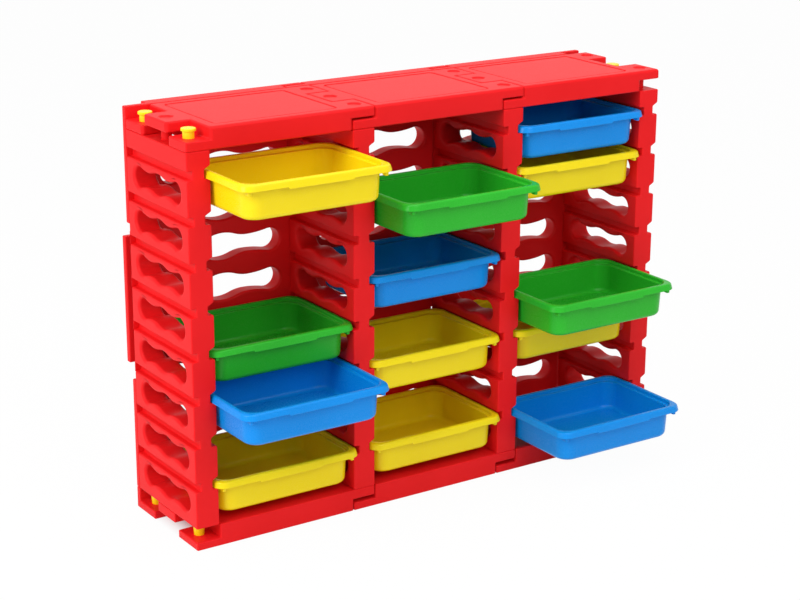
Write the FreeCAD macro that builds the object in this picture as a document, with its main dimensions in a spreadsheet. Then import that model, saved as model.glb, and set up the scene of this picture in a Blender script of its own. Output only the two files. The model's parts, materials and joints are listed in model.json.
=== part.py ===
import FreeCAD, Part
import math
import os

import Sketcher

# Driving sizes in millimetres: name, value and what it measures.
SIZES = (
    ("BayWidth", 302.0, "clear width between two uprights"),
    ("BayCount", 3, "bays side by side"),
    ("UprightThickness", 48.0, "upright, across the rack"),
    ("UprightDepth", 242.0, "upright, front to back"),
    ("TopLedgeDrop", 51.5, "upright's top down to its first ledge"),
    ("RailPitch", 85.5, "ledge to ledge"),
    ("RailCount", 8, "ledges on each side of an upright"),
    ("LowLedgeHeight", 75.0, "upright's foot up to its last ledge"),
    ("GrooveDepth", 12.0, "groove into the upright"),
    ("GrooveHeight", 17.5, "groove, ledge to roof at its web"),
    ("GrooveRise", 7.0, "rise of a right-hand groove's roof towards its mouth"),
    ("LedgeBevel", 3.0, "bevel on the ledge's lip"),
    ("SlotMargin", 28.0, "upright's front and rear faces in to its wavy slots"),
    ("SlotLobe", 40.0, "height of those slots' three lobes"),
    ("SlotWaist", 28.0, "height of those slots' two waists"),
    ("SlotDrop", 31.5, "ledge down to the slot's centre line"),
    ("TopThickness", 42.0, "top panel"),
    ("BottomThickness", 44.0, "bottom panel"),
    ("BackThickness", 34.0, "back panel"),
    ("LugGap", 2.0, "gap beside a lug and beyond its tip"),
    ("TopLugThickness", 18.0, "half-lap lug of a top panel"),
    ("TopLugDepth", 70.0, "front and rear lower lug of a top panel"),
    ("TopLugStagger", 6.0, "lower lug's end to the upper lug's start"),
    ("BottomLugThickness", 20.0, "half-lap lug of a bottom panel"),
    ("BottomLugDepth", 78.0, "front and rear lower lug of a bottom panel"),
    ("BottomLugStagger", 14.0, "lower lug's end to the upper lug's start"),
    ("BackLugThickness", 13.0, "half-lap lug of a back panel"),
    ("BackLugHeight", 226.0, "upper and lower lug of a back panel"),
    ("BackLugGap", 30.0, "gap between a back panel's lugs"),
    ("BackSlotCount", 9, "wavy slots in a back panel"),
    ("BackSlotPitch", 82.0, "slot to slot"),
    ("BackSlotMargin", 22.0, "bay's sides in to the back panel's wavy slots"),
    ("BackSlotEnd", 45.0, "height of those slots' end lobes"),
    ("BackSlotMiddle", 54.0, "height of those slots' middle lobes"),
    ("BackSlotWaist", 34.0, "height of those slots' two waists"),
    ("PostDiameter", 20.0, "post on the upright's top that a lower lug drops over"),
    ("NeckDiameter", 21.5, "pin's neck"),
    ("HeadDiameter", 27.7, "pin's head"),
    ("HeadHeight", 5.5, "pin's head"),
    ("NeckHeight", 13.5, "pin's neck above its post"),
    ("FitGap", 0.4, "gap around a post, pin or plug"),
    ("SocketRoof", 4.5, "left above the pin's head in an upper lug"),
    ("RimOverlap", 9.0, "tray's rim into each groove"),
    ("TrayRearGap", 5.0, "behind a tray that is flush with the uprights' front"),
    ("TrayHeight", 71.0, "tray, rim to floor"),
    ("RimHeight", 13.0, "turned-down lip of the rim"),
    ("RimCorner", 20.0, "corner radius of the rim"),
    ("RimWidth", 14.5, "rim's edge in to the tray's wall"),
    ("StepDepth", 8.0, "step inside the tray, below the rim"),
    ("StepWidth", 5.0, "that step"),
    ("BodyCorner", 26.0, "corner radius of the tray's wall"),
    ("WallThickness", 3.0, "tray's wall"),
    ("WallTaper", 2.5, "draft of the tray's wall, in degrees"),
    ("FloorBevel", 8.0, "bevel around the tray's floor"),
    ("GripWidth", 134.0, "deeper middle of the front lip"),
    ("GripDrop", 3.5, "how much deeper it is"),
    ("SlideGap", 0.3, "lip above its ledge"),
)

# Each tray in the photo: name, bay, ledge from the top, and how far it is pulled out.
TRAYS = (
    ("tray_yellow_1", 1, 1, 136.0),
    ("tray_green_1", 1, 5, 0.5),
    ("tray_blue_1", 1, 6, 128.0),
    ("tray_yellow_2", 1, 8, 15.0),
    ("tray_green_2", 2, 2, 128.0),
    ("tray_blue_2", 2, 4, 3.0),
    ("tray_yellow_3", 2, 6, 6.0),
    ("tray_yellow_4", 2, 8, 13.0),
    ("tray_blue_3", 3, 1, 14.0),
    ("tray_yellow_5", 3, 2, 9.0),
    ("tray_green_3", 3, 5, 131.0),
    ("tray_yellow_6", 3, 6, 8.0),
    ("tray_blue_4", 3, 8, 168.0),
)

# Flats per round: what repeats is drawn with few faces.
ROUND_FLAT_COUNT = 8
CORNER_FLAT_COUNT = 3
LOBE_FLAT_COUNT = 5

# Where a slot's waist lies, from its centre (0) to its end lobe's centre (1).
WAIST_PLACE = 0.525


class Size:
    """A length as its number and as the sheet expression that gives it."""

    def __init__(self, value, text):
        self.value = value
        self.text = text

    def join(self, sign, other, value):
        text = other.text if isinstance(other, Size) else repr(float(other))
        return Size(value, f"({self.text} {sign} {text})")

    def __add__(self, other):
        return self.join("+", other, self.value + number(other))

    def __sub__(self, other):
        return self.join("-", other, self.value - number(other))

    def __mul__(self, other):
        return self.join("*", other, self.value * number(other))

    def __truediv__(self, other):
        return self.join("/", other, self.value / number(other))


def number(length):
    return length.value if isinstance(length, Size) else float(length)


doc = FreeCAD.newDocument("storage_organizer")
sheet = doc.addObject("Spreadsheet::Sheet", "Sizes")
for row, (name, value, note) in enumerate(SIZES, start=1):
    sheet.set(f"A{row}", name)
    sheet.set(f"B{row}", str(value))
    sheet.set(f"C{row}", note)
    sheet.setAlias(f"B{row}", name)
doc.recompute()

size = {name: Size(float(sheet.get(name)), f"Sizes.{name}") for name, value, note in SIZES}
zero = Size(0.0, "0")

thickness = size["UprightThickness"]
depth = size["UprightDepth"]
bay_pitch = size["BayWidth"] + thickness
panel_length = bay_pitch + thickness
rail_span = size["RailPitch"] * (size["RailCount"] - 1)
upright_height = rail_span + size["TopLedgeDrop"] + size["LowLedgeHeight"]
bottom_depth = depth + size["BackThickness"]
lap_depth = depth + size["BackLugThickness"]
back_height = upright_height + size["TopThickness"]
rack_width = bay_pitch * size["BayCount"] + thickness
slot_length = depth - size["SlotMargin"] * 2
back_slot_length = size["BayWidth"] - size["BackSlotMargin"] * 2
tray_depth = depth - size["TrayRearGap"]


def set_size(thing, prop, length):
    """Give a property its number now and its expression for later."""
    setattr(thing, prop, length.value)
    thing.setExpression(prop, length.text)


def place(thing, x, y, z):
    thing.Placement.Base = FreeCAD.Vector(x.value, y.value, z.value)
    for axis, length in (("x", x), ("y", y), ("z", z)):
        thing.setExpression(f"Placement.Base.{axis}", length.text)


def new_body(name):
    return doc.addObject("PartDesign::Body", name)


def new_sketch(body, name, role, offset=(zero, zero, zero)):
    """A sketch on one of the body's own planes, shifted in that plane's axes."""
    sketch = body.newObject("Sketcher::SketchObject", name)
    plane = next(part for part in body.Origin.OriginFeatures if part.Role == role)
    sketch.AttachmentSupport = [(plane, "")]
    sketch.MapMode = "FlatFace"
    for axis, length in zip("xyz", offset):
        sketch.setExpression(f"AttachmentOffset.Base.{axis}", length.text)
    return sketch


def add_lines(sketch, points):
    """A closed run of lines; returns the number of its first line."""
    first = sketch.GeometryCount
    count = len(points)
    for i in range(count):
        sketch.addGeometry(Part.LineSegment(points[i], points[(i + 1) % count]), False)
    for i in range(count):
        sketch.addConstraint(Sketcher.Constraint("Coincident", first + i, 2, first + (i + 1) % count, 1))
    return first


def pin_down(sketch, line, spot, x, y):
    """Bind a point's place in its sketch to the sheet."""
    for kind, length in (("DistanceX", x), ("DistanceY", y)):
        index = sketch.addConstraint(Sketcher.Constraint(kind, -1, 1, line, spot, length.value))
        sketch.setExpression(f"Constraints[{index}]", length.text)


def outline(sketch, corners):
    first = add_lines(sketch, [FreeCAD.Vector(x.value, y.value, 0) for x, y in corners])
    for i, (x, y) in enumerate(corners):
        pin_down(sketch, first + i, 1, x, y)


def rectangle(sketch, left, low, right, high):
    outline(sketch, [(left, low), (right, low), (right, high), (left, high)])


def round_outline(sketch, x, y, diameter, flats):
    """A regular polygon in a construction circle, as few-sided rounds are drawn here."""
    centre = FreeCAD.Vector(x.value, y.value, 0)
    radius = diameter / 2
    ring = sketch.addGeometry(Part.Circle(centre, FreeCAD.Vector(0, 0, 1), radius.value), True)
    pin_down(sketch, ring, 3, x, y)
    index = sketch.addConstraint(Sketcher.Constraint("Radius", ring, radius.value))
    sketch.setExpression(f"Constraints[{index}]", radius.text)
    turn = 2 * math.pi / flats
    points = []
    for i in range(flats):
        spoke = FreeCAD.Vector(math.cos((i + 0.5) * turn), math.sin((i + 0.5) * turn), 0)
        points.append(centre + spoke * radius.value)
    first = add_lines(sketch, points)
    for i in range(flats):
        sketch.addConstraint(Sketcher.Constraint("PointOnObject", first + i, 1, ring))
        if i:
            sketch.addConstraint(Sketcher.Constraint("Equal", first, first + i))
    sketch.addConstraint(Sketcher.Constraint("Vertical", first + flats - 1))


def add_pad(body, sketch, length, reverse=False):
    doc.recompute()
    pad = body.newObject("PartDesign::Pad", f"{sketch.Name}_pad")
    pad.Profile = sketch
    pad.Reversed = reverse
    set_size(pad, "Length", length)
    doc.recompute()
    return pad


def add_pocket(body, sketch, length, reverse=False):
    doc.recompute()
    before = body.Shape.Volume
    pocket = body.newObject("PartDesign::Pocket", f"{sketch.Name}_pocket")
    pocket.Profile = sketch
    pocket.Reversed = reverse
    set_size(pocket, "Length", length)
    doc.recompute()
    if body.Shape.Volume > before - 1.0:
        raise RuntimeError(f"{pocket.Name} takes nothing away")
    return pocket


def add_pattern(body, pockets, count, span):
    """Repeat pockets upwards."""
    body.Tip = pockets[-1]
    pattern = body.newObject("PartDesign::LinearPattern", f"{pockets[0].Name}_row")
    pattern.Originals = pockets
    axis = next(part for part in body.Origin.OriginFeatures if part.Role == "Z_Axis")
    pattern.Direction = (axis, [""])
    body.Tip = pattern
    set_size(pattern, "Length", span)
    pattern.Occurrences = int(count.value)
    pattern.setExpression("Occurrences", count.text)
    doc.recompute()


def arc_point(centre, radius, angle):
    return (centre[0] + radius * math.cos(angle), centre[1] + radius * math.sin(angle))


def arc_points(centre, radius, start, sweep, flats):
    return [arc_point(centre, radius, start + sweep * i / flats) for i in range(flats + 1)]


def wavy_slot(length, end, waist, middle):
    """The three-lobed slot's outline about its centre: tangent arcs, cut into flats.

    Each waist is two arcs that meet level at (wx, hw). The outer one touches the end lobe (radius er), so
    its radius is (dx^2 + hw^2 - er^2) / (2 (er - hw)); the inner one and the middle lobe share a radius of
    (wx^2 + k^2) / (4 k), where k is the middle lobe's rise above the waist. A short arc gives its midpoint.
    """
    er, hw, hm = end.value / 2, waist.value / 2, middle.value / 2
    ex = length.value / 2 - er
    wx = ex * WAIST_PLACE
    dx = ex - wx
    k = hm - hw
    outer = (dx * dx + hw * hw - er * er) / (2 * (er - hw))
    inner = (wx * wx + k * k) / (4 * k)
    to_end = math.atan2(hw + outer, wx - ex)
    to_middle = math.atan2(2 * inner - k, wx)
    down = -math.pi / 2
    half = arc_points((ex, 0), er, -to_end, 2 * to_end, LOBE_FLAT_COUNT)
    wave = [
        arc_point((wx, hw + outer), outer, (to_end - math.pi + down) / 2),
        arc_point((wx, hw + inner), inner, (to_middle - math.pi + down) / 2),
        arc_point((0, hm - inner), inner, (to_middle - down) / 2),
    ]
    half += wave + [(-x, y) for x, y in reversed(wave)]
    return half + [(-x, -y) for x, y in half]


def add_slot(sketch, points):
    add_lines(sketch, [FreeCAD.Vector(x, y, 0) for x, y in points])
    sketch.addConstraint([Sketcher.Constraint("Block", i) for i in range(len(points))])


def end_pocket(body, name, face, cut, reverse, left_spans, right_spans):
    """Cut spans out of a slab's left and right ends, where it laps its neighbours."""
    sketch = new_sketch(body, name, *face)
    for low, high in left_spans:
        rectangle(sketch, zero, low, thickness + size["LugGap"], high)
    for low, high in right_spans:
        rectangle(sketch, bay_pitch - size["LugGap"], low, panel_length, high)
    add_pocket(body, sketch, cut, reverse)


def level_lugs(body, slab, height, lug, front, rear, stagger, rear_face):
    """Half-lap lugs on a lying slab: on its left two low and one high, on its right their counterparts."""
    gap = size["LugGap"]
    upper_front = front + stagger
    upper_rear = rear - stagger
    end_pocket(
        body,
        f"{slab}_laps_low",
        ("XY_Plane",),
        height - lug,
        True,
        [(front, rear)],
        [(zero, front + gap), (rear - gap, rear_face)],
    )
    end_pocket(
        body,
        f"{slab}_laps_high",
        ("XY_Plane", (zero, zero, height)),
        height - lug,
        False,
        [(zero, upper_front), (upper_rear, rear_face)],
        [(upper_front - gap, upper_rear + gap)],
    )


# Upright: a block with ledged grooves on both faces, wavy slots between them and three posts on top.
top_pins_y = (size["TopLugDepth"] / 2, depth / 2, depth - size["TopLugDepth"] / 2)
foot_pins_y = (size["BottomLugDepth"] / 2, lap_depth / 2, lap_depth - size["BottomLugDepth"] / 2)
half_thickness = thickness / 2

upright = new_body("upright_form")
sketch = new_sketch(upright, "upright_plan", "XY_Plane")
rectangle(sketch, zero, zero, thickness, depth)
add_pad(upright, sketch, upright_height)
sketch = new_sketch(upright, "upright_posts", "XY_Plane", (zero, zero, upright_height))
for y in top_pins_y:
    round_outline(sketch, half_thickness, y, size["PostDiameter"], ROUND_FLAT_COUNT)
add_pad(upright, sketch, size["TopLugThickness"])

ledge = size["LowLedgeHeight"]
roof = ledge + size["GrooveHeight"]
left_groove = [
    (zero, ledge - size["LedgeBevel"]),
    (size["LedgeBevel"], ledge),
    (size["GrooveDepth"], ledge),
    (size["GrooveDepth"], roof),
    (zero, roof),
]
right_groove = [(thickness - x, z) for x, z in left_groove[:-1]]
right_groove.append((thickness, roof + size["GrooveRise"]))
sketch = new_sketch(upright, "grooves", "XZ_Plane")
outline(sketch, left_groove)
outline(sketch, right_groove)
grooves = add_pocket(upright, sketch, depth)
sketch = new_sketch(upright, "slots", "YZ_Plane", (depth / 2, ledge - size["SlotDrop"], zero))
add_slot(sketch, wavy_slot(slot_length, size["SlotLobe"], size["SlotWaist"], size["SlotLobe"]))
slots = add_pocket(upright, sketch, thickness, True)
add_pattern(upright, [grooves, slots], size["RailCount"], rail_span)

# Top panel: half-lap lugs, with post holes in its lower ones and pin sockets in its upper ones.
top = new_body("top_form")
sketch = new_sketch(top, "top_plan", "XY_Plane")
rectangle(sketch, zero, zero, panel_length, depth)
add_pad(top, sketch, size["TopThickness"])
level_lugs(
    top,
    "top",
    size["TopThickness"],
    size["TopLugThickness"],
    size["TopLugDepth"],
    depth - size["TopLugDepth"],
    size["TopLugStagger"],
    depth,
)
far_centre = bay_pitch + half_thickness
lower_lugs = [(half_thickness, top_pins_y[0]), (half_thickness, top_pins_y[2]), (far_centre, top_pins_y[1])]
upper_lugs = [(far_centre, top_pins_y[0]), (far_centre, top_pins_y[2]), (half_thickness, top_pins_y[1])]
sketch = new_sketch(top, "post_holes", "XY_Plane")
for x, y in lower_lugs:
    round_outline(sketch, x, y, size["PostDiameter"] + size["FitGap"] * 2, ROUND_FLAT_COUNT)
add_pocket(top, sketch, size["TopLugThickness"], True)
sketch = new_sketch(top, "pin_sockets", "XY_Plane")
for x, y in upper_lugs:
    round_outline(sketch, x, y, size["HeadDiameter"] + size["FitGap"] * 2, ROUND_FLAT_COUNT)
add_pocket(top, sketch, size["TopThickness"] - size["SocketRoof"], True)

# Bottom panel: its rear edge laps as the back panel on it does, and pin holes run through its lugs.
bottom = new_body("bottom_form")
sketch = new_sketch(bottom, "bottom_plan", "XY_Plane")
rectangle(sketch, zero, zero, panel_length, bottom_depth)
add_pad(bottom, sketch, size["BottomThickness"])
end_pocket(
    bottom,
    "bottom_rear_laps",
    ("XY_Plane",),
    size["BottomThickness"],
    True,
    [(lap_depth, bottom_depth)],
    [(depth - size["LugGap"], bottom_depth - size["BackLugThickness"])],
)
level_lugs(
    bottom,
    "bottom",
    size["BottomThickness"],
    size["BottomLugThickness"],
    size["BottomLugDepth"],
    lap_depth - size["BottomLugDepth"],
    size["BottomLugStagger"],
    depth,
)
sketch = new_sketch(bottom, "pin_holes", "XY_Plane")
for x in (half_thickness, far_centre):
    for y in foot_pins_y:
        round_outline(sketch, x, y, size["NeckDiameter"] + size["FitGap"] * 2, ROUND_FLAT_COUNT)
add_pocket(bottom, sketch, size["BottomThickness"], True)

# Back panel: long half-lap lugs on both edges and a column of wavy slots.
low_lug = size["BackLugHeight"]
high_lug = back_height - size["BackLugHeight"]
back = new_body("back_form")
sketch = new_sketch(back, "back_plan", "XZ_Plane")
rectangle(sketch, zero, zero, panel_length, back_height)
add_pad(back, sketch, size["BackThickness"], True)
outer_spans = [(zero, low_lug + size["BackLugGap"]), (high_lug - size["BackLugGap"], back_height)]
middle_span = [(low_lug, high_lug)]
back_cut = size["BackThickness"] - size["BackLugThickness"]
rear_face = ("XZ_Plane", (zero, zero, zero - size["BackThickness"]))
end_pocket(back, "back_laps_rear", rear_face, back_cut, True, outer_spans, middle_span)
end_pocket(back, "back_laps_front", ("XZ_Plane",), back_cut, False, middle_span, outer_spans)
slot_span = size["BackSlotPitch"] * (size["BackSlotCount"] - 1)
slot_foot = (back_height - slot_span) / 2
sketch = new_sketch(back, "back_slots", "XZ_Plane", (panel_length / 2, slot_foot, zero))
back_slot_heights = (size["BackSlotEnd"], size["BackSlotWaist"], size["BackSlotMiddle"])
add_slot(sketch, wavy_slot(back_slot_length, *back_slot_heights))
slots = add_pocket(back, sketch, size["BackThickness"])
add_pattern(back, [slots], size["BackSlotCount"], slot_span)


def add_prism(name, diameter, foot, length):
    """A few-sided round that stands on its foot."""
    prism = doc.addObject("Part::Prism", name)
    prism.Polygon = ROUND_FLAT_COUNT
    set_size(prism, "Circumradius", diameter / 2)
    set_size(prism, "Height", length)
    prism.Placement.Rotation = FreeCAD.Rotation(FreeCAD.Vector(0, 0, 1), 180.0 / ROUND_FLAT_COUNT)
    place(prism, zero, zero, foot)
    return prism


# Top pins stand on the posts; bottom pins reach from the lower lugs up to the uprights' feet.
top_pin = doc.addObject("Part::MultiFuse", "top_pin_form")
top_pin.Shapes = [
    add_prism("pin_neck", size["NeckDiameter"], zero, size["NeckHeight"]),
    add_prism("pin_head", size["HeadDiameter"], size["NeckHeight"], size["HeadHeight"]),
]
foot_neck = size["BottomThickness"] - size["SocketRoof"]
foot_pin = add_prism("foot_pin_form", size["NeckDiameter"], zero, foot_neck)


def tray_loop(inset, radius, z):
    """The rim's rounded rectangle, set in by inset, as points in order around it."""
    half_x = rim_width / 2 - inset
    front = inset
    rear = tray_depth.value - inset
    corners = ((half_x, rear, 0), (-half_x, rear, 1), (-half_x, front, 2), (half_x, front, 3))
    points = []
    for x, y, quarter in corners:
        turn = quarter * math.pi / 2
        centre = (
            x - math.copysign(radius, x),
            y - radius if quarter < 2 else y + radius,
        )
        arc = arc_points(centre, radius, turn, math.pi / 2, CORNER_FLAT_COUNT)
        points += [FreeCAD.Vector(px, py, z) for px, py in arc]
    return points


def skin_solid(loops):
    """A solid whose skin runs from loop to loop, closed by the first and the last."""
    faces = [Part.Face(Part.makePolygon(loop + loop[:1])) for loop in (loops[0], loops[-1])]
    for low, high in zip(loops, loops[1:]):
        for i in range(len(low)):
            j = (i + 1) % len(low)
            faces.append(Part.Face(Part.makePolygon([low[i], low[j], high[j], high[i], low[i]])))
    solid = Part.Solid(Part.Shell(faces))
    if solid.Volume < 0:
        solid.reverse()
    return solid


def tray_shape():
    """A drafted tray: its section is carried round the rim, then the grip joins it."""
    wall = size["WallThickness"].value
    rim = size["RimHeight"].value
    floor = rim - size["TrayHeight"].value
    bevel = size["FloorBevel"].value
    step = rim - size["StepDepth"].value
    draft = math.tan(math.radians(size["WallTaper"].value))
    corner = size["BodyCorner"].value
    rim_corner = size["RimCorner"].value
    width = size["RimWidth"].value
    shoulder = width + wall - size["StepWidth"].value

    def outer(z):
        return width + (rim - z) * draft

    section = (
        (outer(floor) + bevel, corner - bevel, floor),
        (outer(floor + bevel), corner, floor + bevel),
        (outer(step - wall), corner, step - wall),
        (wall, rim_corner - wall, rim - wall),
        (wall, rim_corner - wall, 0.0),
        (0.0, rim_corner, 0.0),
        (0.0, rim_corner, rim),
        (shoulder, corner - wall, rim),
        (shoulder, corner - wall, step),
        (outer(step) + wall, corner - wall, step),
        (outer(floor + wall) + wall + bevel / 2, corner - wall - bevel / 2, floor + wall),
    )
    solid = skin_solid([tray_loop(*ring) for ring in section])

    half_grip = size["GripWidth"].value / 2
    drop = size["GripDrop"].value
    grip = Part.Face(Part.makePolygon([
        FreeCAD.Vector(-half_grip - drop, 0, 0),
        FreeCAD.Vector(half_grip + drop, 0, 0),
        FreeCAD.Vector(half_grip, 0, -drop),
        FreeCAD.Vector(-half_grip, 0, -drop),
        FreeCAD.Vector(-half_grip - drop, 0, 0),
    ])).extrude(FreeCAD.Vector(0, wall, 0))
    return solid.fuse(grip).removeSplitter()


rim_width = size["BayWidth"].value + 2 * size["RimOverlap"].value
tray = doc.addObject("Part::Feature", "tray_form")
tray.Shape = tray_shape()

# The rack stands on the ground with the middle of its footprint at the origin.
left_face = zero - rack_width / 2
front_face = zero - bottom_depth / 2
upright_foot = size["BottomThickness"]
nodes = []


def instance(form, label, x, y, z):
    """One placed copy of a form."""
    copy = doc.addObject("App::Link", label)
    copy.LinkedObject = form
    copy.LinkTransform = True
    copy.Label = label
    place(copy, left_face + x, front_face + y, z)
    return copy


for line in range(int(size["BayCount"].value) + 1):
    nodes.append(instance(upright, f"upright_{line + 1}", bay_pitch * line, zero, upright_foot))
for bay in range(int(size["BayCount"].value)):
    x = bay_pitch * bay
    nodes.append(instance(bottom, f"bottom_panel_{bay + 1}", x, zero, zero))
    nodes.append(instance(top, f"top_panel_{bay + 1}", x, zero, upright_foot + upright_height))
    nodes.append(instance(back, f"back_panel_{bay + 1}", x, depth, upright_foot))


def pin_group(label, form, spots, z):
    """Pins of one kind, as separate solids of one node."""
    pins = [instance(form, f"{label}_{i + 1}", x, y, z) for i, (x, y) in enumerate(spots)]
    group = doc.addObject("Part::Compound", label)
    group.Links = pins
    group.Label = label
    nodes.append(group)


lines = range(int(size["BayCount"].value) + 1)
every_post = [(bay_pitch * line + half_thickness, y) for line in lines for y in top_pins_y]
in_lower_lugs = []
for line in lines:
    for spot, y in enumerate(foot_pins_y):
        # Outer lugs belong to the panel on the right of a line, the middle lug to the one on its left.
        has_lower_lug = line > 0 if spot == 1 else line < int(size["BayCount"].value)
        if has_lower_lug:
            in_lower_lugs.append((bay_pitch * line + half_thickness, y))
pin_group("top_pins", top_pin, every_post, upright_foot + upright_height + size["TopLugThickness"])
pin_group("bottom_pins", foot_pin, in_lower_lugs, size["SocketRoof"])

for label, bay, level, pulled in TRAYS:
    x = bay_pitch * (bay - 1) + thickness + size["BayWidth"] / 2
    ledge_height = size["LowLedgeHeight"] + size["RailPitch"] * (size["RailCount"] - level)
    z = upright_foot + ledge_height + size["SlideGap"]
    nodes.append(instance(tray, label, x, Size(-pulled, repr(-pulled)), z))

doc.recompute()
for thing in doc.Objects:
    if "Invalid" in thing.State or "Error" in thing.State:
        raise RuntimeError(f"{thing.Name} is {thing.State}")
os.makedirs("parts", exist_ok=True)
for node in nodes:
    shape = Part.getShape(node)
    if shape.isNull() or not shape.isValid():
        raise RuntimeError(f"{node.Label} has no valid shape")
    shape.exportStep(f"parts/{node.Label}.step")
    print(node.Label, len(shape.Solids), round(shape.Volume / 1000.0, 1))
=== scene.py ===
import json
import math

import bmesh
import bpy
import numpy as np
from mathutils import Matrix, Vector


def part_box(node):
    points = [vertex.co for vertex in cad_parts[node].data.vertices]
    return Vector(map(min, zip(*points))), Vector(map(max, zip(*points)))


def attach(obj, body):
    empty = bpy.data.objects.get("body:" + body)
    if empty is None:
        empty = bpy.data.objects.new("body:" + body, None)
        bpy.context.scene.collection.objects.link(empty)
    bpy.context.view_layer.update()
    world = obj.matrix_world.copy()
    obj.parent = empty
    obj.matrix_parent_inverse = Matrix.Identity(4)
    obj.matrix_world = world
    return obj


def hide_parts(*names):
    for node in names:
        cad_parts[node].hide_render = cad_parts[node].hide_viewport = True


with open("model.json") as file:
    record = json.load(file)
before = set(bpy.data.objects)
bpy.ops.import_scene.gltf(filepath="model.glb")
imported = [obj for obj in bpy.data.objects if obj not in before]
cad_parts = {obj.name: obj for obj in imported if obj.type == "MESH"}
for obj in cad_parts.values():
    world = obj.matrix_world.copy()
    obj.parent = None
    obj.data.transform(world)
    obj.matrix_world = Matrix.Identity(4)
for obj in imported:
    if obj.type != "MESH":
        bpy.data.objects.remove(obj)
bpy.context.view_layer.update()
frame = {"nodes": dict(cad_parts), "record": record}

scene = bpy.context.scene
scene.view_settings.view_transform = "Standard"
mm = 0.001  # the pieces' dictionaries are in millimetres
print("frame loaded,", len(frame["nodes"]), "nodes")


# Tools for surfaces

def roundedPath(corners, radii, steps):
    # Each inner corner becomes an arc of its radius that touches both sides: the centre lies on the
    # corner's bisector at radius / sin(half angle), and the arc is swept from one foot to the other.
    p = np.array(corners, float)
    r = np.array(radii, float)[:, None]
    back, ahead = p[:-2] - p[1:-1], p[2:] - p[1:-1]
    back = back / np.linalg.norm(back, axis=1, keepdims=True)
    ahead = ahead / np.linalg.norm(ahead, axis=1, keepdims=True)
    half = 0.5 * np.arccos(np.clip((back * ahead).sum(1, keepdims=True), -1, 1))
    bisector = back + ahead
    bisector = bisector / np.linalg.norm(bisector, axis=1, keepdims=True)
    centre = p[1:-1] + bisector * r / np.sin(half)
    start = p[1:-1] + back * r / np.tan(half) - centre
    end = p[1:-1] + ahead * r / np.tan(half) - centre
    sweep = (np.pi - 2 * half)[:, None]
    t = np.linspace(0, 1, steps + 1)[None, :, None]
    arcs = (np.sin((1 - t) * sweep) * start[:, None] + np.sin(t * sweep) * end[:, None]) / np.sin(sweep)
    return np.concatenate([p[:1], (centre[:, None] + arcs).reshape(-1, 2), p[-1:]])


def plateLoops(x0, x1, y0, y1, radius, arc, alongX, alongY):
    # Rounded rectangles, one per row, counter-clockwise from the right side: each side is cut at the
    # given fractions of its straight run, and each corner is a quarter circle in arc steps.
    rows = np.broadcast_arrays(*map(np.atleast_1d, (x0, x1, y0, y1, radius)))
    x0, x1, y0, y1, radius = (row.reshape(-1, 1) for row in rows)
    alongX, alongY = np.atleast_2d(alongX), np.atleast_2d(alongY)
    width, length = x1 - x0 - 2 * radius, y1 - y0 - 2 * radius
    turn = np.linspace(0, np.pi / 2, arc + 1)[None, 1:-1]
    c, s = radius * np.cos(turn), radius * np.sin(turn)
    x = [x1 + 0 * alongY, x1 - radius + c, x1 - radius - width * alongX, x0 + radius - s,
         x0 + 0 * alongY, x0 + radius - c, x0 + radius + width * alongX, x1 - radius + s]
    y = [y0 + radius + length * alongY, y1 - radius + s, y1 + 0 * alongX, y1 - radius + c,
         y1 - radius - length * alongY, y0 + radius - s, y0 + 0 * alongX, y0 + radius - c]
    return np.stack([np.concatenate(x, 1), np.concatenate(y, 1)], -1)


def lift(loops, z):
    # Gives each row of flat loops its height.
    z = np.broadcast_to(np.asarray(z, float)[:, None, None], loops.shape[:2] + (1,))
    return np.concatenate([loops, z], -1)


def ringSkin(loops, keep=None, capFirst=True, capLast=True):
    # A skin from row to row of closed loops; keep is a mask of the quads that are wanted.
    rows, count = loops.shape[:2]
    here = np.arange(rows * count).reshape(rows, count)
    beside = np.roll(here, -1, axis=1)
    quads = np.stack([here[:-1], beside[:-1], beside[1:], here[1:]], -1)
    quads = quads[keep] if keep is not None else quads.reshape(-1, 4)
    faces = quads.tolist()
    faces += [here[0][::-1].tolist()] if capFirst else []
    faces += [here[-1].tolist()] if capLast else []
    return loops.reshape(-1, 3), faces


def unitCircle(sides, shift=0.0):
    # Points at equal angles, counter-clockwise; shift is a share of one step.
    turn = (np.arange(sides) + shift) * 2 * np.pi / sides
    return np.stack([np.cos(turn), np.sin(turn)], -1)


def turned(profile, centre, sides):
    # A profile of (radius, height) carried round an upright axis.
    loops = lift(profile[:, :1, None] * unitCircle(sides), profile[:, 1])
    return ringSkin(loops + np.array(centre, float))


def smoothStep(t):
    # From nought to one, level at both ends: 3 t^2 - 2 t^3.
    return t * t * (3 - 2 * t)


def cellMiddles(*cuts):
    # The middles of a box grid's cells, one array for each direction.
    return np.meshgrid(*[(c[1:] + c[:-1]) / 2 for c in cuts], indexing="ij")


bevel = {"flatAngle": 0.02, "edgeAngle": 0.5, "steps": 4}  # angles in radians


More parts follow.
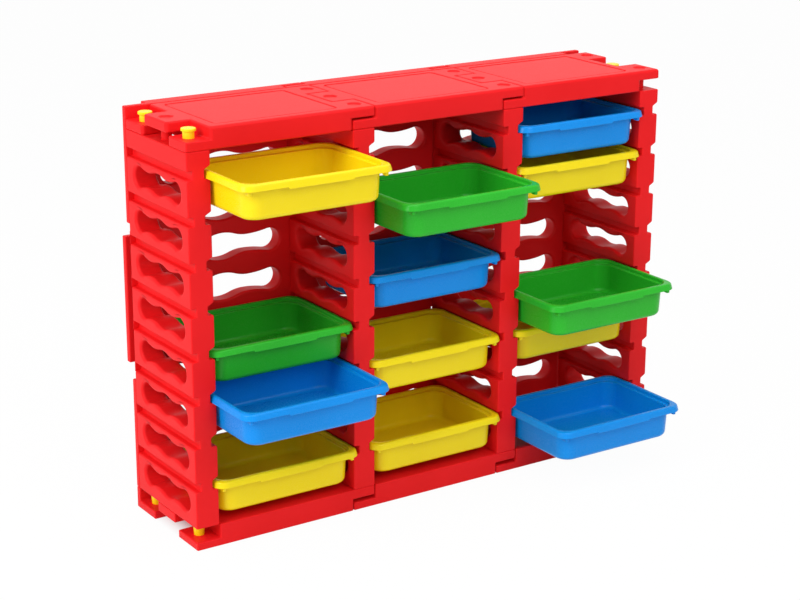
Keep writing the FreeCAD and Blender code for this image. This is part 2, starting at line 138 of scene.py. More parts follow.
def blockPart(cuts, filled, skip, radiusOf, widest):
    # The skin of the filled cells of a box grid: a quad wherever a filled cell meets an empty one,
    # apart from those in skip(axis, side). Each edge is rounded by radiusOf(edge), at most widest.
    shape = np.array([len(c) - 1 for c in cuts])
    solid = np.pad(filled, 1)
    grid = np.stack(np.meshgrid(*cuts, indexing="ij"), -1).reshape(-1, 3)
    ids = np.arange(len(grid)).reshape(shape + 1)
    step = np.eye(3, dtype=int)
    quads = []
    for axis in range(3):
        da, db = step[(axis + 1) % 3], step[(axis + 2) % 3]
        for side in (0, 1):
            bare = filled & ~np.roll(solid, 1 - 2 * side, axis)[1:-1, 1:-1, 1:-1]
            cells = np.argwhere(bare & ~skip(axis, side))
            cells[:, axis] += side
            ring = [cells, cells + da, cells + da + db, cells + db]
            ring = ring if side else ring[::-1]
            quads.append(np.stack([ids[tuple(c.T)] for c in ring], -1))
    used, quads = np.unique(np.concatenate(quads), return_inverse=True)
    mesh = bpy.data.meshes.new("blockDraft")
    mesh.from_pydata(grid[used].tolist(), [], quads.reshape(-1, 4).tolist())
    draft = bmesh.new()
    draft.from_mesh(mesh)
    bmesh.ops.dissolve_limit(draft, angle_limit=bevel["flatAngle"], verts=draft.verts, edges=draft.edges)
    share = draft.edges.layers.float.new("bevel_weight_edge")
    for edge in draft.edges:
        if len(edge.link_faces) == 2 and edge.calc_face_angle() > bevel["edgeAngle"]:
            edge[share] = radiusOf(edge) / widest
    draft.to_mesh(mesh)
    draft.free()
    block = bpy.data.objects.new("blockDraft", mesh)
    scene.collection.objects.link(block)
    rounding = block.modifiers.new("rounding", "BEVEL")
    rounding.limit_method, rounding.use_clamp_overlap = "WEIGHT", False
    rounding.width, rounding.segments = widest, bevel["steps"]
    shaped = bpy.data.meshes.new_from_object(block.evaluated_get(bpy.context.evaluated_depsgraph_get()))
    points = np.empty(len(shaped.vertices) * 3)
    shaped.vertices.foreach_get("co", points)
    faces = [list(p.vertices) for p in shaped.polygons]
    bpy.data.objects.remove(block)
    bpy.data.meshes.remove(mesh)
    bpy.data.meshes.remove(shaped)
    return points.reshape(-1, 3), faces


slotLine = {"waistShare": 0.525, "lobeAngle": 60.0, "samples": 60, "rimRows": 6, "collar": 1.2}


def wavySlot(length, end, waist, middle, longSteps, endSteps):
    # Half the slot's upper edge is four tangent arcs: end lobe, outer and inner waist, middle lobe. The
    # outer waist touches the end lobe; the inner waist and the middle lobe share one radius.
    er, hw, hm = end / 2, waist / 2, middle / 2
    ex = length / 2 - er
    wx = slotLine["waistShare"] * ex
    dx, rise, lean = ex - wx, hm - hw, math.radians(slotLine["lobeAngle"])
    outer = (dx * dx + hw * hw - er * er) / (2 * (er - hw))
    inner = (wx * wx + rise * rise) / (4 * rise)
    toEnd, toMiddle = math.atan2(hw + outer, wx - ex), math.atan2(2 * inner - rise, wx)
    # Each arc's centre, radius, first and last angle.
    x, y, radius, first, last = np.array([
        (ex, 0, er, lean, toEnd),
        (wx, hw + outer, outer, toEnd - np.pi, -np.pi / 2),
        (wx, hw + inner, inner, -np.pi / 2, toMiddle - np.pi),
        (0, hm - inner, inner, toMiddle, np.pi / 2),
    ]).T[..., None]
    angle = first + (last - first) * np.linspace(0, 1, slotLine["samples"])
    edge = np.stack([x + radius * np.cos(angle), y + radius * np.sin(angle)], -1).reshape(-1, 2)
    edge = np.concatenate([edge, edge[-2::-1] * (-1, 1)])
    run = np.r_[0, np.cumsum(np.linalg.norm(np.diff(edge, axis=0), axis=1))]
    at = np.linspace(0, run[-1], longSteps + 1)
    top = np.stack([np.interp(at, run, edge[:, 0]), np.interp(at, run, edge[:, 1])], -1)
    turn = np.linspace(-lean, lean, endSteps + 1)
    tip = np.stack([ex + er * np.cos(turn), er * np.sin(turn)], -1)
    return np.concatenate([(top[::-1] * (1, -1))[:-1], tip[:-1], top[:-1], -tip[:-1]])


def frameLine(low, high, longSteps, endSteps):
    # The rectangle low-high as points, counter-clockwise from low.
    f, g = np.linspace(0, 1, longSteps + 1)[:-1, None], np.linspace(0, 1, endSteps + 1)[:-1, None]
    a, b, c, d = (np.array(p, float) for p in (low, (high[0], low[1]), high, (low[0], high[1])))
    return np.concatenate([a + (b - a) * f, b + (c - b) * g, c + (d - c) * f, d + (a - d) * g])


def slotPatch(nearLow, farLow, high, slot, middle, half, rim, longSteps, endSteps):
    # A plate with a slot through it: rings run from the near face's rectangle to the slot's rounded rim,
    # through the wall, and out to the far face's rectangle. Columns are across, up and depth.
    along = np.roll(slot, -1, 0) - np.roll(slot, 1, 0)
    away = np.stack([along[:, 1], -along[:, 0]], -1) / np.linalg.norm(along, axis=1, keepdims=True)
    slot = slot + np.array(middle, float)
    turn = np.linspace(0, np.pi / 2, slotLine["rimRows"])
    near = slot + away * (rim + slotLine["collar"])
    wall = slot + away * (rim * (1 - np.sin(turn)))[:, None, None]
    depth = np.r_[half, half, half, half - rim * (1 - np.cos(turn))]
    faces = []
    for low in (nearLow, farLow):
        border = frameLine(low, high, longSteps, endSteps)
        faces.append(np.concatenate([border[None], (0.5 * border + 0.5 * near)[None], near[None], wall]))
    return lift(np.concatenate([faces[0], faces[1][::-1]]), np.r_[depth, -depth[::-1]])


# Materials

mould = {
    "inputs": {"Pebble": 900.0, "Pebble Share": 0.3, "Depth": 0.1, "Rough Low": 0.3, "Rough High": 0.4},
    "outputs": {"Tone": "NodeSocketFloat", "Roughness": "NodeSocketFloat", "Normal": "NodeSocketVector"},
    "ripple": 22.0, "blotch": 7.0, "relief": 0.0012, "noiseSpan": (0.3, 0.7),
}


def noiseNode(tree, coords, scale, detail):
    # Noise in the piece's own coordinates.
    node = tree.nodes.new("ShaderNodeTexNoise")
    node.inputs["Scale"].default_value = scale
    node.inputs["Detail"].default_value = detail
    tree.links.new(coords.outputs["Object"], node.inputs["Vector"])
    return node


def mouldedSkinGroup():
    # Fine pebble and slow ripple as height, soft blotches as tone, and the pebble again as roughness.
    group = bpy.data.node_groups.new("mouldedSkin", "ShaderNodeTree")
    socket = group.interface.new_socket
    for label, value in mould["inputs"].items():
        socket(label, in_out="INPUT", socket_type="NodeSocketFloat").default_value = value
    for label, kind in mould["outputs"].items():
        socket(label, in_out="OUTPUT", socket_type=kind)
    new, link = group.nodes.new, group.links.new
    entry, exitNode, coords = new("NodeGroupInput"), new("NodeGroupOutput"), new("ShaderNodeTexCoord")
    pebble = noiseNode(group, coords, mould["inputs"]["Pebble"], detail=3)
    link(entry.outputs["Pebble"], pebble.inputs["Scale"])
    ripple = noiseNode(group, coords, mould["ripple"], detail=2)
    blotch = noiseNode(group, coords, mould["blotch"], detail=4)
    share = new("ShaderNodeMath")
    share.operation = "MULTIPLY_ADD"
    link(pebble.outputs["Fac"], share.inputs[0])
    link(entry.outputs["Pebble Share"], share.inputs[1])
    link(ripple.outputs["Fac"], share.inputs[2])
    bump = new("ShaderNodeBump")
    bump.inputs["Distance"].default_value = mould["relief"]
    link(entry.outputs["Depth"], bump.inputs["Strength"])
    link(share.outputs[0], bump.inputs["Height"])
    tone, rough = new("ShaderNodeMapRange"), new("ShaderNodeMapRange")
    for node, source in ((tone, blotch), (rough, pebble)):
        node.inputs["From Min"].default_value, node.inputs["From Max"].default_value = mould["noiseSpan"]
        link(source.outputs["Fac"], node.inputs["Value"])
    link(entry.outputs["Rough Low"], rough.inputs["To Min"])
    link(entry.outputs["Rough High"], rough.inputs["To Max"])
    link(tone.outputs["Result"], exitNode.inputs["Tone"])
    link(rough.outputs["Result"], exitNode.inputs["Roughness"])
    link(bump.outputs["Normal"], exitNode.inputs["Normal"])
    return group


mouldedSkin = mouldedSkinGroup()


def plasticFinish(name, look):
    # One moulded colour that drifts to its shade, with the shared skin.
    material = bpy.data.materials.new(name)
    material.use_nodes = True
    tree = material.node_tree
    shader = tree.nodes["Principled BSDF"]
    skin = tree.nodes.new("ShaderNodeGroup")
    skin.node_tree = mouldedSkin
    for label in mould["inputs"]:
        skin.inputs[label].default_value = look[label]
    blend = tree.nodes.new("ShaderNodeMix")
    blend.data_type = "RGBA"
    blend.inputs["A"].default_value = (*look["shade"], 1)
    blend.inputs["B"].default_value = (*look["colour"], 1)
    tree.links.new(skin.outputs["Tone"], blend.inputs["Factor"])
    tree.links.new(blend.outputs["Result"], shader.inputs["Base Color"])
    tree.links.new(skin.outputs["Roughness"], shader.inputs["Roughness"])
    tree.links.new(skin.outputs["Normal"], shader.inputs["Normal"])
    shader.inputs["Specular IOR Level"].default_value = look["specular"]
    material.diffuse_color = (*look["colour"], 1)
    return material


blown = {
    "Pebble": 1100.0, "Pebble Share": 0.10, "Depth": 0.22, "Rough Low": 0.36, "Rough High": 0.48,
    "specular": 0.10,
}
glossy = {
    "Pebble": 700.0, "Pebble Share": 0.05, "Depth": 0.10, "Rough Low": 0.22, "Rough High": 0.32,
    "specular": 0.2,
}
# Surface, colour and shade of each of the record's slots
plastics = {
    "rack_red": (blown, (0.80, 0.012, 0.015), (0.75, 0.010, 0.012)),
    "pin_yellow": (glossy, (0.92, 0.72, 0.010), (0.88, 0.67, 0.008)),
    "tray_yellow": (glossy, (0.87, 0.69, 0.007), (0.84, 0.65, 0.005)),
    "tray_green": (glossy, (0.025, 0.45, 0.024), (0.021, 0.41, 0.021)),
    "tray_blue": (glossy, (0.003, 0.26, 0.77), (0.002, 0.24, 0.72)),
}
finishes = {}
for slot, (surface, colour, shade) in plastics.items():
    piece, hue = slot.split("_")
    finishes[slot] = plasticFinish(piece + hue.capitalize(), dict(surface, colour=colour, shade=shade))
slotOf = {row["node"]: row["material_slot"] for row in frame["record"]["subparts"]}
print("finishes ready:", len(finishes))

joining = {"mergeWithin": 0.01, "sharpAngle": 42.0}


def addPiece(name, parts, at, body, node):
    # Joins parts into one mesh in metres, with normals weighted by face size, and stands it for its node.
    starts = np.cumsum([0] + [len(points) for points, faces in parts]).tolist()
    points = (np.concatenate([points for points, faces in parts]) * mm + np.array(at)).tolist()
    faces = [[v + start for v in face] for (_, part), start in zip(parts, starts) for face in part]
    mesh = bpy.data.meshes.new(name)
    mesh.from_pydata(points, [], faces)
    draft = bmesh.new()
    draft.from_mesh(mesh)
    bmesh.ops.remove_doubles(draft, verts=draft.verts, dist=joining["mergeWithin"] * mm)
    draft.to_mesh(mesh)
    draft.free()
    mesh.shade_smooth()
    mesh.set_sharp_from_angle(angle=math.radians(joining["sharpAngle"]))
    piece = bpy.data.objects.new(name, mesh)
    scene.collection.objects.link(piece)
    mesh.materials.append(finishes[slotOf[node]])
    weigh = piece.modifiers.new("evenNormals", "WEIGHTED_NORMAL")
    weigh.keep_sharp = True
    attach(piece, body)
    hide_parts(node)


def lowCorner(node):
    return np.array(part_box(node)[0])


# Uprights: plan loops stacked up the height, with wavy slots let into each block's sides

upright = {
    "half": 24.0, "depth": 242.0, "height": 725.0, "edge": 2.2, "planCorner": 2.2,
    "ledges": 8, "lowLedge": 75.0, "pitch": 85.5, "grooveHalf": 12.0, "roof": 17.5, "mouth": 24.5,
    "grooveFillet": 2.5, "lip": 3.5, "brow": 1.4, "endWall": 0.8, "endWallCorner": 0.1,
    "slot": (186.0, 40.0, 28.0, 40.0), "slotDrop": 31.5, "slotRim": 6.0,
    "post": 10.0, "postHeight": 18.0, "postEdge": 0.8, "postTip": 0.5, "postSides": 28,
    "posts": (35.0, 121.0, 207.0), "sunk": 1.0,
}


def uprightParts(u, longSteps=36, endSteps=10, arc=4):
    # Row by row, the right side's (reach, height) and the left side's run from ledge to ledge; between
    # the two sides, the height follows the way across. Right grooves have a rising roof, left ones a
    # level one.
    half, edge, web, roof, fillet = (u[k] for k in ("half", "edge", "grooveHalf", "roof", "grooveFillet"))
    ledges = u["lowLedge"] + u["pitch"] * np.arange(u["ledges"])
    turn = np.linspace(-np.pi / 2, 0, 5)
    nose, rise = half - edge + edge * np.cos(turn), edge + edge * np.sin(turn)
    between = np.linspace(0, 1, endSteps + 1)[1:-1]
    lows, reaches, heights = [], [], []
    for mouth, brow in ((u["mouth"], u["lip"]), (roof, u["brow"])):
        # The path's ends only give its outer bends their direction, and are left off again.
        below, above = (half, -u["pitch"]), (half, u["pitch"])
        corners = [below, (half, 0), (web, 0), (web, roof), (half, mouth), above]
        groove = roundedPath(corners, (u["lip"], fillet, fillet, brow), 4)[1:-1]
        flatLow = np.r_[edge, ledges[:-1] + groove[-1, 1]]
        flatHigh = ledges + groove[0, 1]
        flats = flatLow[:, None] + (flatHigh - flatLow)[:, None] * between
        height = np.concatenate([flats, ledges[:, None] + groove[:, 1]], 1).ravel()
        reach = np.tile(np.r_[np.full(endSteps - 1, half), groove[:, 0]], u["ledges"])
        lows.append(flatLow)
        reaches.append(np.r_[nose, reach, nose[::-1]])
        heights.append(np.r_[rise, height, u["height"] - rise[::-1]])
    taper = half - nose
    inset = np.r_[taper, np.zeros(len(reaches[0]) - 2 * len(taper)), taper[::-1]]
    endCuts, sideCuts = np.linspace(0, 1, 5), np.linspace(0, 1, longSteps + 1)
    loops = plateLoops(-reaches[1], reaches[0], inset, u["depth"] - inset, u["planCorner"], arc,
                       endCuts, sideCuts)
    reaches, heights = np.array(reaches)[..., None], np.array(heights)[..., None]
    across = (loops[..., 0] + reaches[1]) / (reaches[0] + reaches[1])
    loops = np.concatenate([loops, (heights[1] + (heights[0] - heights[1]) * across)[..., None]], -1)
    # The blocks' sides are left open for the slotted patches.
    stride = endSteps - 1 + len(groove)
    keep = np.ones((len(loops) - 1, loops.shape[1]), bool)
    left = len(sideCuts) + 2 * (arc - 1) + len(endCuts)
    for start in len(turn) - 1 + stride * np.arange(u["ledges"]):
        keep[start:start + endSteps, :longSteps] = False
        keep[start:start + endSteps, left:left + longSteps] = False
    parts = [ringSkin(loops, keep)]
    slot = wavySlot(*u["slot"], longSteps, endSteps)
    front, rear = u["planCorner"], u["depth"] - u["planCorner"]
    for rightLow, leftLow, high, ledge in zip(*lows, flatHigh, ledges):
        patch = slotPatch((front, rightLow), (front, leftLow), (rear, high), slot,
                          (u["depth"] / 2, ledge - u["slotDrop"]), half, u["slotRim"], longSteps, endSteps)
        parts.append(ringSkin(patch[..., [2, 0, 1]], None, False, False))
    # A thin wall closes each groove's rear end: an upright box from the web to the side, ledge to roof.
    wallFront, wallSide = u["depth"] - u["endWall"], web - u["planCorner"]
    for ledge in ledges:
        for x0, x1 in ((-half, -wallSide), (wallSide, half)):
            box = plateLoops([x0] * 2, [x1] * 2, wallFront, u["depth"], u["endWallCorner"], 1, (0, 1), (0, 1))
            parts.append(ringSkin(lift(box, (ledge - u["sunk"], ledge + u["mouth"]))))
    post, tall = u["post"], u["postHeight"]
    profile = roundedPath([(post, -u["sunk"]), (post, tall), (u["postTip"], tall)], (u["postEdge"],), 3)
    parts += [turned(profile, (0, y, u["height"]), u["postSides"]) for y in u["posts"]]
    return parts


uprightShape = uprightParts(upright)
for line in (1, 2, 3, 4):
    node = f"upright_{line}"
    at = lowCorner(node) + np.array((upright["half"], 0, 0)) * mm
    addPiece(f"uprightSkin{line}", uprightShape, at, "rack", node)
print("uprights made")


# Top and bottom panels: a slab whose ends are half-lap lugs

topPanel = {
    "length": 398.0, "depth": 242.0, "height": 42.0, "root": 49.0, "gap": 1.0,
    "lowThick": 18.5, "highThick": 20.0, "lowLugs": (70.0, 172.0), "highLugs": (76.0, 166.0),
    "recess": 242.0, "leftEnd": 242.0, "rightEnd": 242.0, "strip": 242.0,
    "edge": 3.0, "crown": 6.0, "lugCrown": 4.0, "planEdge": 7.0, "fillet": 5.0,
    "field": (62.0, 13.0, 336.0, 229.0), "fieldDrop": 0.6, "line": (70.0, 20.5, 328.0, 221.5),
    "lineWidth": 5.0, "lineDepth": 2.6, "lineCorner": 9.0, "lineMargins": (3.0, 4.0),
    "dimples": ((24.0, 121.0), (374.0, 35.0), (374.0, 207.0)), "dimpleSquare": 17.5,
    "dimpleRadius": 15.0, "dimpleDepth": 3.0, "dimpleSlope": 4.0, "dimpleMargins": (1.0, 5.0),
}
bottomPanel = {
    "length": 398.0, "depth": 276.0, "height": 44.0, "root": 50.0, "gap": 2.0,
    "lowThick": 16.0, "highThick": 20.0, "lowLugs": (78.0, 177.0), "highLugs": (92.0, 163.0),
    "recess": 242.0, "leftEnd": 255.0, "rightEnd": 240.0, "strip": 263.0,
    "edge": 2.4, "crown": 2.4, "lugCrown": 2.4, "planEdge": 2.4, "fillet": 2.0, "dimples": (),
}


def lappedSlab(p, near=1.0):
    # Cells of the slab and its lugs: two low ones, a high one and a rear wall on the left; two high ones,
    # a low one and a rear strip on the right. An edge within near of a face counts as on it.
    length, depth, height, root, gap = (p[k] for k in ("length", "depth", "height", "root", "gap"))
    lowRoof, highFloor = p["lowThick"], height - p["highThick"]
    (lowFront, lowRear), (highFront, highRear) = p["lowLugs"], p["highLugs"]
    xs = [0, root, length - root, length]
    ys = [0, lowFront, lowFront + gap, lowRear - gap, lowRear, highFront - gap, highFront, highRear,
          highRear + gap, p["recess"], p["leftEnd"], p["rightEnd"], p["strip"], depth]
    holes = [p["field"]] if "field" in p else []
    for x, y in p["dimples"]:
        reach = p["dimpleSquare"]
        holes.append((x - reach, y - reach, x + reach, y + reach))
    for x0, y0, x1, y1 in holes:
        xs += [x0, x1]
        ys += [y0, y1]
    xs, ys, zs = np.unique(xs), np.unique(ys), np.array([0, lowRoof, highFloor, height])
    x, y, z = cellMiddles(xs, ys, zs)
    low, high = z < lowRoof, z > highFloor
    lowLeft, highLeft = (y < lowFront) | (y > lowRear), (y > highFront) & (y < highRear)
    left = ((lowLeft & low) | (highLeft & high) | (y > p["recess"])) & (y < p["leftEnd"])
    lowRight = (y > lowFront + gap) & (y < lowRear - gap)
    highRight = (y < highFront - gap) | ((y > highRear + gap) & (y < p["rightEnd"]))
    right = (lowRight & low) | (highRight & high) | (y > p["strip"])
    filled = np.where(x < root, left, np.where(x > length - root, right, True))
    inHole, nothing = np.zeros(filled.shape, bool), np.zeros(filled.shape, bool)
    for x0, y0, x1, y1 in holes:
        inHole |= (x > x0) & (x < x1) & (y > y0) & (y < y1) & high

    def skip(axis, side):
        return inHole if (axis, side) == (2, 1) else nothing

    def radiusOf(edge):
        # A fillet where a low lug meets the slab's end, a wide rounding along the top's long sides, less on
        # its other edges, and one on upright edges, but not at the slab's own corners.
        a, b = (v.co for v in edge.verts)
        if not edge.is_convex:
            return p["fillet"] if max(abs(a.z - lowRoof), abs(b.z - lowRoof)) < near else 0
        if min(a.z, b.z) > height - near:
            onLongSide = max(a.y, b.y) < near or min(a.y, b.y) > depth - near
            return p["crown"] if onLongSide else p["lugCrown"]
        inCorner = min(a.x, length - a.x) < near and min(a.y, depth - a.y) < near
        return p["planEdge"] if abs(a.z - b.z) > near and not inCorner else p["edge"]

    return blockPart((xs, ys, zs), filled, skip, radiusOf, p["planEdge"])


def linePatch(p):
    # The top's sunk field and the line around it: across the line, the depth is half a sine wave plus a
    # smooth step down to the field.
    t = np.linspace(0, 1, 11)
    sink = p["lineDepth"] * np.sin(np.pi * t) + p["fieldDrop"] * smoothStep(t)
    outside, inside = p["lineMargins"]
    inset = np.r_[-outside, (t - 0.5) * p["lineWidth"], inside]
    corner = np.maximum(p["lineCorner"] - inset, 1)
    ways = (inset, inset, -inset, -inset)
    x0, y0, x1, y1 = (np.r_[f, at + way] for f, at, way in zip(p["field"], p["line"], ways))
    sideCuts = np.linspace(0, 1, 9)
    loops = plateLoops(x0, x1, y0, y1, np.r_[0, corner], 6, sideCuts, sideCuts)
    return ringSkin(lift(loops, p["height"] - np.r_[0, 0, sink, sink[-1]]), None, False, True)


def dimplePatch(p, x, y, sides=48):
    # A square that turns into circles, which sink by a smooth step of the way in.
    reach, radius, (outside, inside) = p["dimpleSquare"], p["dimpleRadius"], p["dimpleMargins"]
    radii = radius + outside - np.linspace(0, outside + inside, 9)
    ring = unitCircle(sides, 0.5)
    square = ring / np.abs(ring).max(1, keepdims=True) * reach
    # The two points beside each diagonal go to the square's corner.
    quarter = sides // 4
    corner = np.isin(np.arange(sides) % quarter, (quarter // 2 - 1, quarter // 2))
    square[corner] = np.sign(square[corner]) * reach
    sink = p["dimpleDepth"] * smoothStep(np.clip((radius - radii) / p["dimpleSlope"], 0, 1))
    loops = np.concatenate([square[None], radii[:, None, None] * ring])
    loops = lift(loops + np.array((x, y), float), p["height"] - np.r_[0, sink])
    return ringSkin(loops, None, False, True)


topShape = [lappedSlab(topPanel), linePatch(topPanel)]
topShape += [dimplePatch(topPanel, x, y) for x, y in topPanel["dimples"]]
bottomShape = [lappedSlab(bottomPanel)]
for bay in (1, 2, 3):
    for kind, shape in (("top", topShape), ("bottom", bottomShape)):
        node = f"{kind}_panel_{bay}"
        addPiece(f"{kind}PanelSkin{bay}", shape, lowCorner(node), "rack", node)
print("top and bottom panels made")


# Back panels: a plate with lapped edges and a column of wavy slots

backPanel = {
    "length": 398.0, "height": 767.0, "thick": 34.0, "edge": 2.2,
    "root": 49.0, "lug": 226.0, "gap": 30.0, "lugThick": 13.0,
    "slots": 9, "pitch": 82.0, "slot": (258.0, 45.0, 34.0, 54.0), "slotRim": 5.0, "fieldMargin": 10.0,
}


def backParts(p, longSteps=44, endSteps=10):
    # Cells of the plate and its lugs: the outer ones in front on the left and behind on the right, the
    # middle one the other way round. The field of the slots is left open for the slotted patches.
    length, height, thick, pitch = (p[k] for k in ("length", "height", "thick", "pitch"))
    root, lug, gap, lugThick = (p[k] for k in ("root", "lug", "gap", "lugThick"))
    left, right = root + p["fieldMargin"], length - root - p["fieldMargin"]
    foot = height / 2 - pitch * p["slots"] / 2
    xs = np.array([0, root, left, right, length - root, length])
    ys = np.array([0, lugThick, thick - lugThick, thick])
    zs = np.array([0, foot, lug, lug + gap, height - lug - gap, height - lug, height - foot, height])
    x, y, z = cellMiddles(xs, ys, zs)
    outer, middle = (z < lug) | (z > height - lug), (z > lug + gap) & (z < height - lug - gap)
    front, rear = y < lugThick, y > thick - lugThick
    leftLug, rightLug = (outer & front) | (middle & rear), (outer & rear) | (middle & front)
    filled = np.where(x < root, leftLug, np.where(x > length - root, rightLug, True))
    field = (x > left) & (x < right) & (z > foot) & (z < height - foot)
    nothing = np.zeros(filled.shape, bool)

    def skip(axis, side):
        return field if axis == 1 else nothing

    def radiusOf(edge):
        return p["edge"] if edge.is_convex else 0

    parts = [blockPart((xs, ys, zs), filled, skip, radiusOf, p["edge"])]
    slot = wavySlot(*p["slot"], longSteps, endSteps)
    for low in foot + pitch * np.arange(p["slots"]):
        patch = slotPatch((left, low), (left, low), (right, low + pitch), slot,
                          (length / 2, low + pitch / 2), thick / 2, p["slotRim"], longSteps, endSteps)
        patch = np.stack([patch[..., 0], thick / 2 - patch[..., 2], patch[..., 1]], -1)
        parts.append(ringSkin(patch, None, False, False))
    return parts


backShape = backParts(backPanel)
for bay in (1, 2, 3):
    node = f"back_panel_{bay}"
    addPiece(f"backPanelSkin{bay}", backShape, lowCorner(node), "rack", node)
print("back panels made")


# Pins: a neck with a mushroom head on top, plain pegs at the foot

pin = {
    "neck": 10.75, "neckHeight": 13.5, "head": 13.85, "flare": 0.6, "height": 19.0, "tip": 0.6,
    "bends": (1.0, 0.8, 1.5), "sides": 40, "rows": (35.0, 121.0, 207.0),
}
peg = {
    "toe": 8.8, "radius": 12.0, "height": 39.5, "tip": 0.6, "bends": (1.0,), "sides": 40,
    "foot": 4.5, "rows": (39.0, 127.5, 216.0),
}


def pinParts(p, middles, foot):
    # One in each post: the profile is the neck, the head's underside, its rim and its top.
    neck, head, low, tall = p["neck"], p["head"], p["neckHeight"], p["height"]
    path = [(neck, 0), (neck, low), (head, low + p["flare"]), (head, tall), (p["tip"], tall)]
    profile = roundedPath(path, p["bends"], 5)
    return [turned(profile, (x, y, foot), p["sides"]) for x in middles for y in p["rows"]]


def pegParts(p, middles):
    # Front and rear ones in each bay's left lugs, middle ones in its right lug.
    path = [(p["toe"], 0), (p["radius"], p["height"]), (p["tip"], p["height"])]
    profile = roundedPath(path, p["bends"], 3)
    front, middle, rear = p["rows"]
    spots = [(x, y) for x in middles[:-1] for y in (front, rear)] + [(x, middle) for x in middles[1:]]
    return [turned(profile, (x, y, p["foot"]), p["sides"]) for x, y in spots]


# The uprights' middles and the top pins' foot are counted from the rack's corner.
rackCorner = lowCorner("bottom_panel_1")
middles = [(lowCorner(f"upright_{line}")[0] - rackCorner[0]) / mm + upright["half"] for line in (1, 2, 3, 4)]
pinFoot = (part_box("top_pins")[0].z - rackCorner[2]) / mm
addPiece("topPinSkins", pinParts(pin, middles, pinFoot), rackCorner, "rack", "top_pins")
addPiece("bottomPinSkins", pegParts(peg, middles), rackCorner, "rack", "bottom_pins")
print("pins made")


# Trays: a section of (inset, height) carried round the rim's rounded rectangle

tray = {
    "halfWidth": 160.0, "depth": 237.0, "top": 13.0, "floor": -58.0, "wall": 3.0, "draft": 2.5,
    "rimWidth": 14.5, "lean": 3.0, "shoulder": 12.5, "step": 5.0, "tuck": (2.0, 4.0), "floorRun": 36.0,
    "bends": (11, 2, 2, 1, 2, 0.8, 0.8, 5.0, 2.6, 1.5, 1.8, 10),
    "cornerAt": (0, 3, 10, 15.5, 18.5, 30, 60), "corner": (25, 23.5, 28, 30, 28, 20, 7),
    "grip": 67.0, "gripDrop": 3.5, "gripRun": 2.0, "gripFade": 6.0, "columns": (34.0, 110.0), "spare": 2.0,
    "tab": (139.0, 146.0, 7.5, 20.0, -8.0, 8.0), "tabEdge": 1.5, "tabCorner": 1.6,
}


def trayParts(t, hair=1e-6):
    # The section runs from the floor's underside up the wall, out under the rim and down inside its lip,
    # then up the lip's outside, over the rim, down the step and the inner wall to the floor.
    wall, top, floor, step, lean = (t[k] for k in ("wall", "top", "floor", "step", "lean"))
    shoulder, inside, (tuckLow, tuckHigh) = t["shoulder"], floor + wall, t["tuck"]
    slope = math.tan(math.radians(t["draft"]))

    def outer(z):
        return t["rimWidth"] + (top - z) * slope

    def inner(z):
        return outer(z) + wall

    path = [(outer(floor) + t["floorRun"], floor), (outer(floor), floor), (outer(tuckLow), tuckLow),
            (shoulder - wall, tuckHigh), (shoulder - wall, top - wall), (wall + lean, top - wall),
            (wall, 0), (0, 0), (lean, top), (shoulder, top), (shoulder, step), (inner(step), step),
            (inner(inside), inside), (inner(inside) + t["floorRun"], inside)]
    inset, height = roundedPath(path, t["bends"], 5).T
    corner = np.interp(inset, t["cornerAt"], t["corner"])
    # Columns along the front stand at the grip's ends wherever a row is long enough for them.
    half, (near, far) = t["halfWidth"], t["columns"]
    ends = t["grip"] + t["gripRun"] * np.linspace(0, 1, 5)
    fixed = np.r_[-far, -ends[::-1], -near, 0, near, ends, far]
    run = 2 * (half - inset - corner)[:, None]
    fits = np.minimum(1, (run / 2 - t["spare"]) / far)
    along = np.concatenate([0 * run, (fixed * fits + run / 2) / run, 0 * run + 1], 1)
    sideCuts = np.linspace(0, 1, 6)
    loops = plateLoops(inset - half, half - inset, inset, t["depth"] - inset, corner, 8, along, sideCuts)
    loops = lift(loops, height)
    # The lip's lower edge drops along the middle of the front, by a smooth step at both ends.
    reach = np.clip((t["grip"] + t["gripRun"] - np.abs(loops[..., 0])) / t["gripRun"], 0, 1)
    onFront = (loops[..., 1] <= inset[:, None] + hair) & (inset[:, None] <= wall + lean + hair)
    fade = np.clip((t["gripFade"] - height[:, None]) / t["gripFade"], 0, 1)
    loops[..., 2] -= t["gripDrop"] * smoothStep(reach) * onFront * fade
    parts = [ringSkin(loops)]
    # Tabs behind the lip: upright blocks whose foot is rounded by a quarter circle.
    x0, x1, y0, y1, z0, z1 = t["tab"]
    turn, edge = np.linspace(-np.pi / 2, 0, 5), t["tabEdge"]
    trim, rise = np.r_[edge * (1 - np.cos(turn)), 0], np.r_[z0 + edge + edge * np.sin(turn), z1]
    for a, b in ((x0, x1), (-x1, -x0)):
        tab = plateLoops(a + trim, b - trim, y0 + trim, y1 - trim, t["tabCorner"], 4, (0, 1), (0, 0.5, 1))
        parts.append(ringSkin(lift(tab, rise)))
    return parts


trayShape = trayParts(tray)
trayNodes = sorted(n for n in frame["nodes"] if n.startswith("tray_"))
for node in trayNodes:
    low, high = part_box(node)
    at = np.array(((low.x + high.x) / 2, low.y, low.z - tray["floor"] * mm))
    words = node.split("_")
    addPiece("traySkin" + words[1].capitalize() + words[2], trayShape, at, node, node)
print("trays made:", len(trayNodes))


# Floor, light and camera: metres, degrees and, for the lens, millimetres

